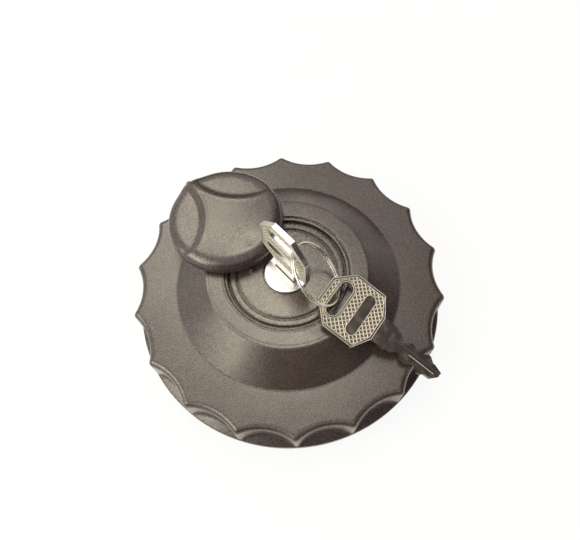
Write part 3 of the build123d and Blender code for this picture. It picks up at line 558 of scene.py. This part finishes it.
# %% Ridge and bead trees
ridge = Tree("knurl ridge", {"Width": 0.42 * MM, "Height": 0.2 * MM, "Finish": knurl_painted_highlight})
upright = ridge.node("SetCurveNormal", {"mode": "Z_UP"},
                     Curve=ridge.node("MeshToCurve", Mesh=ridge.entry.outputs[0]))
squeeze = ridge.node("ShaderNodeCombineXYZ", X=ridge.product(ridge.size("Width"), 0.5),
                     Y=ridge.size("Height"), Z=1.0)
ridge.sweep(upright, ridge.node("Transform", Geometry=ridge.circle(1.0), Scale=squeeze))

bead = Tree("bead", {"Radius": 0.15 * MM, "Finish": knurl_painted_highlight})
bead.sweep(bead.node("MeshToCurve", Mesh=bead.entry.outputs[0]), bead.circle(bead.size("Radius")))

# %% [markdown]
# # The dressed bows
# The sunk field gets thin plates of its own in a darker, duller nickel, a painted shade, and the ridges
# that stand in it carry a painted highlight. Then the ridges and the lips are grown on both faces of
# both keys, and all of them ride with the keys.

# %% Fields, ridges and lips
HALF_THICK, FIELD = 0.9, 0.65
PLATE = {"proud": 0.02, "thick": 0.05}
LIP = {"sunk": 0.06, "rim": 0.17, "border": 0.95, "slot": 0.12, "collar": 0.8, "panel": -0.08}
BLADE_GROOVE = [(36.0, -0.72), (46.4, -0.72)]


def wires(loops):
    """Points and edges of straight runs and closed loops of (x, y), each with its own height."""
    points, edges = [], []
    for loop, height in loops:
        first = len(points)
        points += [(x, y, height) for x, y in loop]
        edges += [(first + i, first + i + 1) for i in range(len(loop) - 1)]
        if len(loop) > 2:
            edges.append((first + len(loop) - 1, first))
    return points, edges


def shade_plates(name, place):
    """Two thin plates in a darker nickel over the sunk field of a bow: a painted shade."""
    shape = bmesh.new()
    for side in (1, -1):
        rims, height = [], side * (FIELD + PLATE["proud"]) * MM
        for loop in (bow_loop(KNURL["border"]), stadium_loop(SLOT, KNURL["collar"]),
                     stadium_loop(PANEL, 0.0)):
            verts = [shape.verts.new((x * MM, y * MM, height)) for x, y in loop]
            rims += [shape.edges.new(pair) for pair in zip(verts, verts[1:] + verts[:1])]
        filled = bmesh.ops.triangle_fill(shape, edges=rims, use_beauty=True, normal=(0, 0, side))
        tops = [f for f in filled["geom"] if isinstance(f, bmesh.types.BMFace)]
        sunk = bmesh.ops.extrude_face_region(shape, geom=tops, use_keep_orig=True)
        low = [v for v in sunk["geom"] if isinstance(v, bmesh.types.BMVert)]
        bmesh.ops.translate(shape, verts=low, vec=(0, 0, -side * PLATE["thick"] * MM))
    bmesh.ops.recalc_face_normals(shape, faces=shape.faces)
    mesh = bpy.data.meshes.new(name)
    shape.to_mesh(mesh)
    shape.free()
    mesh.transform(place)
    mesh.materials.append(knurl_painted_shade)
    made = linked(name, mesh)
    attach(made, "keys")
    print(name, "has", len(mesh.polygons), "faces")


for which, place in key_places.items():
    shade_plates(which + "_bow_field", place)
    ridges = [(run, side * FIELD) for run in runs for side in (1, -1)]
    grown(which + "_bow_knurl", ridge, *wires(ridges), place, "keys", "key_metal")
    lips = []
    for side in (1, -1):
        top = side * (HALF_THICK - LIP["sunk"])
        lips += [(bow_loop(LIP["rim"]), top), (bow_loop(LIP["border"]), top),
                 (stadium_loop(SLOT, LIP["slot"]), top), (stadium_loop(SLOT, LIP["collar"]), top),
                 (stadium_loop(PANEL, LIP["panel"]), top), (BLADE_GROOVE, top)]
    grown(which + "_bow_lips", bead, *wires(lips), place, "keys", "key_metal")

# %% [markdown]
# # The split ring
# A split ring is a little under two turns of hard wire wound so tightly that the turns touch. The
# keys' ring is thin and its turns have sprung apart a little. The Spiral node draws that wire
# directly, so the tree needs no path of its own: radius, rise and turns are its named inputs.

# %% Split ring
RING = {"radius": 11.34, "rise": 0.86, "turns": 1.9, "wire": 0.4, "centre": (9.85, -7.64, 33.231)}
RING_TURN, RING_LEAN, RING_START = math.radians(1.8), math.radians(49.4), math.radians(200.0)

spiral = Tree("split ring", {"Radius": RING["radius"] * MM, "Rise": RING["rise"] * MM, "Turns": RING["turns"],
                             "Wire": RING["wire"] * MM, "Finish": finishes["key_ring"]})
coil = spiral.node("CurveSpiral", Resolution=72, Rotations=spiral.size("Turns"),
                   Start_Radius=spiral.size("Radius"), End_Radius=spiral.size("Radius"),
                   Height=spiral.product(spiral.size("Rise"), spiral.size("Turns")))
spiral.sweep(coil, spiral.circle(spiral.size("Wire"), steps=12))
tilt = Matrix.Rotation(RING_TURN, 4, "Z") @ Matrix.Rotation(RING_LEAN, 4, "Y")
half_height = RING["rise"] * RING["turns"] / 2
turn_start = Matrix.Rotation(RING_START, 4, "Z") @ Matrix.Translation((0, 0, -half_height * MM))
ring_place = Matrix.Translation(Vector(RING["centre"]) * MM) @ tilt @ turn_start
split_ring = grown("split_ring", spiral, [(0, 0, 0), (0.1, 0, 0)], [(0, 1)], ring_place, "keys", "ring_steel")
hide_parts("key_ring")

# %% [markdown]
# # The height of the dust cover
# The swinging cover is a thick moulded disc whose edges are all soft: a low dome that rolls over at
# the rim, and two finger scoops that run out to the edge. A height over the plan says this better
# than cuts and fillets do, because a smooth minimum of the dome and the scoops rounds the ridge
# between them, and a smooth maximum rounds the foot of each scoop's wall. A faint lip follows each
# scoop, and a shallow dimple lies over the pivot.

# %% Height of the dust cover
COVER = {"bottom": 23.1, "top": 29.3, "radius": 21.2, "crown": 0.6, "roll_from": 16.5, "roll_drop": 2.8}
SCOOP = {"x": 19.8, "y": 25.7, "foot": 23.3, "top": 25.15, "floor": 27.85, "wall": 1.25,
         "roll_from": 16.6, "roll_drop": 2.1, "foot_round": 0.6, "ridge_round": 0.2}
LEDGE = {"at": 25.8, "half": 0.5, "height": 0.11}
DIMPLE = {"x": -14.6, "depth": 0.16, "spread": 8.0}
TAB = {"reach": 22.9, "rounding": 1.5}


def smooth_lower(a, b, width):
    """The lower of two heights, with the edge between them rounded."""
    h = np.clip(0.5 + 0.5 * (b - a) / width, 0.0, 1.0)
    return b * (1 - h) + a * h - width * h * (1 - h)


def roll_over(radius, start, drop):
    """Fall of a surface that rolls over from start to the rim of the cover."""
    t = np.clip((radius - start) / (COVER["radius"] - start), 0.0, 0.9999)
    return drop * (1 - np.sqrt(1 - t * t))


def cover_height(x, y, radius):
    height = COVER["top"] - COVER["crown"] * (radius / COVER["roll_from"]) ** 2
    height = height - roll_over(radius, COVER["roll_from"], COVER["roll_drop"])
    for side in (1, -1):
        away = np.hypot(x - SCOOP["x"], y - side * SCOOP["y"])
        wall = SCOOP["floor"] + (away - SCOOP["foot"]) / (SCOOP["top"] - SCOOP["foot"]) * SCOOP["wall"]
        floor = SCOOP["floor"] - roll_over(radius, SCOOP["roll_from"], SCOOP["roll_drop"])
        scoop = -smooth_lower(-wall, -floor, SCOOP["foot_round"])
        ledge = LEDGE["height"] * np.exp(-(((away - LEDGE["at"]) / LEDGE["half"]) ** 2))
        height = smooth_lower(height + ledge, scoop, SCOOP["ridge_round"])
    return height - DIMPLE["depth"] * np.exp(-((x - DIMPLE["x"]) ** 2 + y ** 2) / DIMPLE["spread"])


def cover_outline(angle):
    """Distance to the edge in a direction: a circle with a small rounded tab joined by tangents."""
    middle, small = TAB["reach"] - TAB["rounding"], TAB["rounding"]
    touch = math.acos((COVER["radius"] - small) / middle)
    reach = np.full_like(angle, COVER["radius"])
    turn = np.abs((angle + np.pi) % (2 * np.pi) - np.pi)
    line = COVER["radius"] / np.cos(turn - touch)
    tip = middle * np.cos(turn) + np.sqrt(np.maximum(small ** 2 - (middle * np.sin(turn)) ** 2, 0))
    near = turn < touch
    reach[near] = np.minimum(line, np.where(middle * np.sin(turn) < small, np.maximum(tip, 0), line))[near]
    return np.maximum(reach, COVER["radius"])


centre_top = float(cover_height(np.array(0.0), np.array(0.0), np.array(0.0)))
print("height in the middle", round(centre_top, 2), "mm")

# %% [markdown]
# # The mesh of the dust cover
# The height becomes a mesh of rings that run out from the middle, close together over the rim, and
# back under the cover, where a flat rim surrounds a hollow underside. Rings follow a round form with
# far fewer faces than a square grid does, and both poles close in a fan.

# %% Mesh of the dust cover
UNDERSIDE = ((1.0, 0.5), (0.996, 0.2), (0.985, 0.0), (0.90, 0.0), (0.89, 0.6), (0.86, 0.9), (0.25, 0.9))


def cover_rings(sides=320, inner=46, outer=26):
    """Rings of points from the middle of the top over the rim and back under the cover."""
    angle = np.linspace(0, 2 * np.pi, sides, endpoint=False)
    edge = cover_outline(angle)
    flat = np.linspace(0, 0.8, inner + 1)[1:]
    rim = 0.8 + 0.2 * np.sin(np.linspace(0, np.pi / 2, outer + 1)[1:])
    rings = []
    for share in [*flat, *rim]:
        x, y = edge * share * np.cos(angle), edge * share * np.sin(angle)
        rings.append(np.column_stack([x, y, cover_height(x, y, np.full(sides, COVER["radius"] * share))]))
    for share, above in UNDERSIDE:
        x, y = edge * share * np.cos(angle), edge * share * np.sin(angle)
        rings.append(np.column_stack([x, y, np.full(sides, COVER["bottom"] + above)]))
    return rings


def cover_mesh(name):
    rings = cover_rings()
    sides = len(rings[0])
    points = [(0, 0, centre_top)]
    points += [tuple(row) for ring_points in rings for row in ring_points]
    points.append((0, 0, COVER["bottom"] + UNDERSIDE[-1][1]))
    faces = [(0, 1 + i, 1 + (i + 1) % sides) for i in range(sides)]
    for k in range(len(rings) - 1):
        a, b = 1 + k * sides, 1 + (k + 1) * sides
        faces += [(a + i, b + i, b + (i + 1) % sides, a + (i + 1) % sides) for i in range(sides)]
    last, end = 1 + (len(rings) - 1) * sides, len(points) - 1
    faces += [(last + i, end, last + (i + 1) % sides) for i in range(sides)]
    mesh = bpy.data.meshes.new(name)
    mesh.from_pydata([tuple(v * MM for v in p) for p in points], [], faces)
    mesh.shade_smooth()
    return mesh


soft_mesh = cover_mesh("dust_cover_soft")
print("cover has", len(soft_mesh.polygons), "faces without its journal")

# %% [markdown]
# # The journal and the open position
# The cover turns on a journal that hangs below it, a plain turned form, so it is spun from its
# profile. The mesh is then carried to the open position: out from the pivot in the direction that
# the open cover points.

# %% Journal and place of the cover
PIVOT = {"radius": 15.0, "way": math.radians(138.6)}
OPEN_WAY = math.radians(129.5)
JOURNAL = [(0, 25.0), (5.2, 25.0), (5.2, 23.0), (3.2, 22.8), (3.2, 18.5), (2.9, 18.25), (0, 18.25)]


def with_journal(mesh):
    """Adds the turned journal and its shoulder, which hang below the pivot."""
    across = -PIVOT["radius"] * MM
    shape = bmesh.new()
    shape.from_mesh(mesh)
    verts = [shape.verts.new((across + r * MM, 0, z * MM)) for r, z in JOURNAL]
    edges = [shape.edges.new(pair) for pair in zip(verts, verts[1:])]
    bmesh.ops.spin(shape, geom=verts + edges, cent=(across, 0, 0), axis=(0, 0, 1),
                   angle=2 * math.pi, steps=64, use_duplicate=False)
    bmesh.ops.remove_doubles(shape, verts=shape.verts, dist=1e-6)
    bmesh.ops.recalc_face_normals(shape, faces=shape.faces)
    shape.to_mesh(mesh)
    shape.free()


with_journal(soft_mesh)
pivot = PIVOT["radius"] * Vector((math.cos(PIVOT["way"]), math.sin(PIVOT["way"]), 0))
middle = pivot + PIVOT["radius"] * Vector((math.cos(OPEN_WAY), math.sin(OPEN_WAY), 0))
soft_mesh.transform(Matrix.Translation(middle * MM) @ Matrix.Rotation(OPEN_WAY, 4, "Z"))
soft_mesh.materials.append(finishes["dust_cover"])
soft_cover = linked("dust_cover_soft", soft_mesh)
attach(soft_cover, "cover")
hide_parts("dust_cover")
print("cover has", len(soft_mesh.polygons), "faces, centre at", [round(v, 2) for v in middle], "mm")

# %% [markdown]
# # The bead round the well
# The well that holds the rosette ends in a moulded bead, and the rosette has a rounded foot of its
# own. Both are turned forms, so each is a closed section in radius and height, spun about the axis.

# %% Turned rings
def turned(name, section, finish, body="cap_body", steps=288):
    """Ring made by spinning a closed section of (radius, height) points about the axis."""
    points, faces, n = [], [], len(section)
    for i in range(steps):
        a = 2 * math.pi * i / steps
        points += [(r * math.cos(a) * MM, r * math.sin(a) * MM, z * MM) for r, z in section]
    for i in range(steps):
        a, b = i * n, ((i + 1) % steps) * n
        faces += [(a + k, b + k, b + (k + 1) % n, a + (k + 1) % n) for k in range(n)]
    mesh = bpy.data.meshes.new(name)
    mesh.from_pydata(points, [], faces)
    shape = bmesh.new()
    shape.from_mesh(mesh)
    bmesh.ops.recalc_face_normals(shape, faces=shape.faces)
    shape.to_mesh(mesh)
    shape.free()
    mesh.shade_smooth()
    mesh.materials.append(finish)
    made = linked(name, mesh)
    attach(made, body)
    print(name, "has", len(mesh.polygons), "faces")


WELL_BEAD = [(21.18, 20.2), (21.2, 20.8), (21.22, 21.2), (21.25, 21.46), (21.31, 21.62), (21.4, 21.68),
             (21.6, 21.71), (21.8, 21.73), (22.0, 21.75), (22.14, 21.755), (22.26, 21.73), (22.36, 21.63),
             (22.44, 21.42), (22.49, 21.0), (22.5, 20.6), (22.5, 20.2)]
ROSETTE_FOOT = [(20.46, 19.9), (20.46, 20.12), (20.6, 20.09), (20.85, 20.07), (21.1, 20.1), (21.3, 20.2),
                (21.3, 19.9)]
bead_plastic = moulded("bead plastic", (62, 52, 48), (72, 61, 56), gloss=0.84, grain_depth=0.001)
turned("well_bead", WELL_BEAD, bead_plastic)
turned("rosette_foot", ROSETTE_FOOT, finishes["lock_escutcheon"])

# %% [markdown]
# # The lid with a lower bead
# The solid lid has its own bead, which stands higher than the turned one above. A CAD mesh is never
# changed, so the lid is shown by a copy of it, in which only the points of that bead are lowered until
# they lie inside the turned bead. Everything else of the lid is exactly the solid's mesh.

# %% Lid with a lower bead
OLD_BEAD = {"from": 21.5, "to": 22.5, "lowered_to": 21.2}

lid_mesh = solids["grip_cover"].data.copy()
lid_mesh.name = "lid_soft"
lowered = 0
for vert in lid_mesh.vertices:
    away = math.hypot(vert.co.x, vert.co.y) / MM
    if OLD_BEAD["from"] < away < OLD_BEAD["to"] and vert.co.z > OLD_BEAD["lowered_to"] * MM:
        vert.co.z = OLD_BEAD["lowered_to"] * MM
        lowered += 1
lid_mesh.update()
lid = linked("lid_soft", lid_mesh)
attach(lid, "cap_body")
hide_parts("grip_cover")
print("lowered points of the lid:", lowered)

# %% [markdown]
# # Floor and cards
# A cap like this is shown from above on a white table. The floor is white to the camera and keeps the
# cap's soft shadow. Black cards stand where dark plastic and polished metal would otherwise mirror the
# white room: only reflections see them, and they give a shiny thing its dark edges.

# %% Floor and cards
def stage_piece(name, points, faces, finish):
    mesh = bpy.data.meshes.new(name)
    mesh.from_pydata(points, [], faces)
    made = linked(name, mesh)
    mesh.materials.append(finish)
    return made


def white_floor(camera_white=0.9, mirror_white=0.28):
    """Matt white that the camera sees almost at full white, with the shadow of the cap left in it."""
    finish = Finish("studio white")
    finish.set(Base_Color=linear(246, 246, 246), Roughness=0.9, Specular_IOR_Level=0.1)
    glow = finish.node("Emission", None, Color=(1, 1, 1, 1), Strength=1.0)
    camera_ray = finish.node("LightPath")
    outputs = camera_ray.socket.node.outputs
    shown = camera_ray.upper(Value(finish, outputs["Is Transmission Ray"])) * camera_white
    shown = shown.upper(Value(finish, outputs["Is Glossy Ray"]) * mirror_white)
    both = finish.node("MixShader", None, shown, Value(finish, finish.shader.outputs[0]), glow)
    finish.tree.links.new(both.socket, finish.tree.nodes["Material Output"].inputs["Surface"])
    return finish.material


def black_card(name, azimuths, elevations, distance=0.95, steps=8):
    """Curved card about the cap that only reflections see."""
    points, faces = [], []
    for i in range(steps + 1):
        for j in range(steps + 1):
            a = math.radians(azimuths[0] + (azimuths[1] - azimuths[0]) * i / steps)
            e = math.radians(elevations[0] + (elevations[1] - elevations[0]) * j / steps)
            points.append((distance * math.cos(a) * math.cos(e), distance * math.sin(a) * math.cos(e),
                           distance * math.sin(e)))
    for i in range(steps):
        for j in range(steps):
            k = i * (steps + 1) + j
            faces.append((k, k + 1, k + steps + 2, k + steps + 1))
    card = stage_piece(name, points, faces, card_black)
    card.visible_camera = card.visible_diffuse = card.visible_shadow = False
    card.visible_transmission = False


card_black = Finish("card black").set(Base_Color=linear(14, 13, 12), Roughness=1.0, Specular_IOR_Level=0.0)
below, half = 0.0002, 3.0
low = cad_box[0].z - below
stage_piece("studio_floor", [(-half, -half, low), (half, -half, low), (half, half, low), (-half, half, low)],
            [(0, 1, 2, 3)], white_floor())
black_card("card_right", (-30, 50), (8, 68))
black_card("card_back", (44, 122), (-2, 21))
black_card("card_front", (242, 330), (-2, 44))
print("floor at", round(low / MM, 2), "mm, with three cards")

# %% [markdown]
# # World
# The world gives two lights at once. What falls on the cap is soft, warm and modest, so that a colour
# renders about as it is written. What the camera, a mirror or glass sees directly is plain white.

# %% World
SOFT_COLOUR, SOFT_STRENGTH, WHITE_STRENGTH = (1, 0.9, 0.84, 1), 0.62, 1.0

world = bpy.data.worlds.new("studio world")
bpy.context.scene.world = world
world.use_nodes = True
tree = world.node_tree
tree.nodes.clear()
path = tree.nodes.new("ShaderNodeLightPath")
seen = path.outputs["Is Camera Ray"]
for ray in ("Is Glossy Ray", "Is Transmission Ray"):
    either = tree.nodes.new("ShaderNodeMath")
    either.operation = "MAXIMUM"
    tree.links.new(seen, either.inputs[0])
    tree.links.new(path.outputs[ray], either.inputs[1])
    seen = either.outputs[0]
soft, white = tree.nodes.new("ShaderNodeBackground"), tree.nodes.new("ShaderNodeBackground")
soft.inputs["Color"].default_value, soft.inputs["Strength"].default_value = SOFT_COLOUR, SOFT_STRENGTH
white.inputs["Color"].default_value, white.inputs["Strength"].default_value = (1, 1, 1, 1), WHITE_STRENGTH
blend, out = tree.nodes.new("ShaderNodeMixShader"), tree.nodes.new("ShaderNodeOutputWorld")
tree.links.new(seen, blend.inputs[0])
tree.links.new(soft.outputs[0], blend.inputs[1])
tree.links.new(white.outputs[0], blend.inputs[2])
tree.links.new(blend.outputs[0], out.inputs["Surface"])
print("world strengths", SOFT_STRENGTH, WHITE_STRENGTH)

# %% [markdown]
# # Lamps
# Soft boxes light the cap from overhead and from the left. A lamp's brightness is given as it is seen
# in a mirror, because that is what the highlight on dark plastic shows, and the power follows from
# that and the size of the box. So a box can grow without its highlight getting brighter.

# %% Lamps
LAMP_COLOUR = (1.0, 0.93, 0.72)


def lamp(name, azimuth, elevation, distance, width, height, radiance):
    """Soft box that looks at the cap. Its brightness is given as seen in a mirror."""
    data = bpy.data.lights.new(name, "AREA")
    data.shape, data.size, data.size_y, data.color = "RECTANGLE", width, height, LAMP_COLOUR
    data.energy = radiance * math.pi * width * height
    lamp_object = linked(name, data)
    a, e = math.radians(azimuth), math.radians(elevation)
    way = Vector((math.cos(a) * math.cos(e), math.sin(a) * math.cos(e), math.sin(e)))
    lamp_object.location = way * distance
    lamp_object.rotation_mode = "QUATERNION"
    lamp_object.rotation_quaternion = way.to_track_quat("Z", "Y")
    print(name, "gives", round(data.energy, 2), "W")


lamp("overhead lamp", 89, 73, 0.55, 0.12, 0.12, 11.0)
lamp("back left lamp", 115, 55, 0.55, 0.22, 0.19, 4.6)
lamp("fill lamp", 128, 72, 0.56, 0.18, 0.18, 1.4)
lamp("left lamp", 203, 41, 0.55, 0.36, 0.28, 6.4)

# %% [markdown]
# # Camera
# The camera looks down on the front of the cap from about 20 cm, turned a little about its own view.
# Its lens comes from a focal length in pixels of a frame 580 wide, because that number doesn't depend
# on the size of a sensor. Its matrix is built from the way back, a level side and the ascent.

# %% Camera
SENSOR_MM, FOCAL_PX, FRAME_PX = 36.0, 528.442, 580
CAMERA_AT = (0.001237, -0.083301, 0.191243)
CAMERA_BACK, CAMERA_ROLL = (0, -0.44244, 0.8968), math.radians(-4.756)

camera_data = bpy.data.cameras.new("camera")
camera_data.sensor_width = SENSOR_MM
camera_data.lens = SENSOR_MM * FOCAL_PX / FRAME_PX
camera_data.clip_start, camera_data.clip_end = 0.01, 10
camera = linked("camera", camera_data)
back, level = Vector(CAMERA_BACK), Vector((1, 0, 0))
ascent = back.cross(level)
right = level * math.cos(CAMERA_ROLL) + ascent * math.sin(CAMERA_ROLL)
up = ascent * math.cos(CAMERA_ROLL) - level * math.sin(CAMERA_ROLL)
rows = [(right[i], up[i], back[i], CAMERA_AT[i]) for i in range(3)]
camera.matrix_world = Matrix((*rows, (0, 0, 0, 1)))
bpy.context.scene.camera = camera
bpy.context.scene.view_settings.view_transform = "Standard"
print("lens", round(camera_data.lens, 2), "mm")

# %% [markdown]
# Size. The finished cap has to stay inside the box of its solids.
